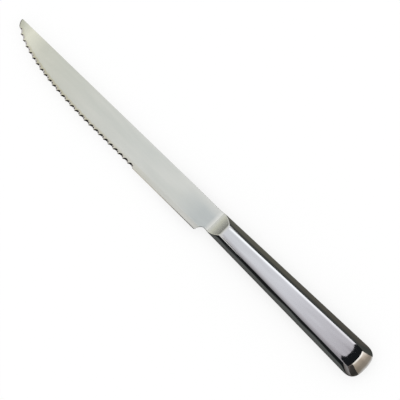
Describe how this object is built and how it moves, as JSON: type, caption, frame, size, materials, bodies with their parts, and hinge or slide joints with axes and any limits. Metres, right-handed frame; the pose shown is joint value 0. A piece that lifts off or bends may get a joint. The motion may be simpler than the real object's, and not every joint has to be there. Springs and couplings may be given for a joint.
{
  "type": "carving knife",
  "caption": "Carving knife with a serrated satin stainless blade, rounded tip and heel step, set by a ramp into a polished hollow handle that tapers from a rounded butt.",
  "frame": {"origin": "under the middle of the knife's length and width, on the plane of the handle's back flat, which the knife lies on", "axes": "+X from the tip to the butt, +Y from the cutting edge to the spine, +Z out of the face with the ground scallops"},
  "size_m": [0.3303, 0.0246, 0.012],
  "materials": {
    "blade_steel": "satin-ground stainless steel",
    "handle_steel": "mirror-polished stainless sheet",
    "weld_steel": "weld metal ground flush and polished",
    "filler_cement": "cast cement, out of sight"
  },
  "bodies": {
    "root": {"blade": "blade_steel", "upper_handle_shell": "handle_steel", "lower_handle_shell": "handle_steel", "seam_weld": "weld_steel", "mouth_weld": "weld_steel", "tang_filler": "filler_cement"}
  },
  "joints": []
}
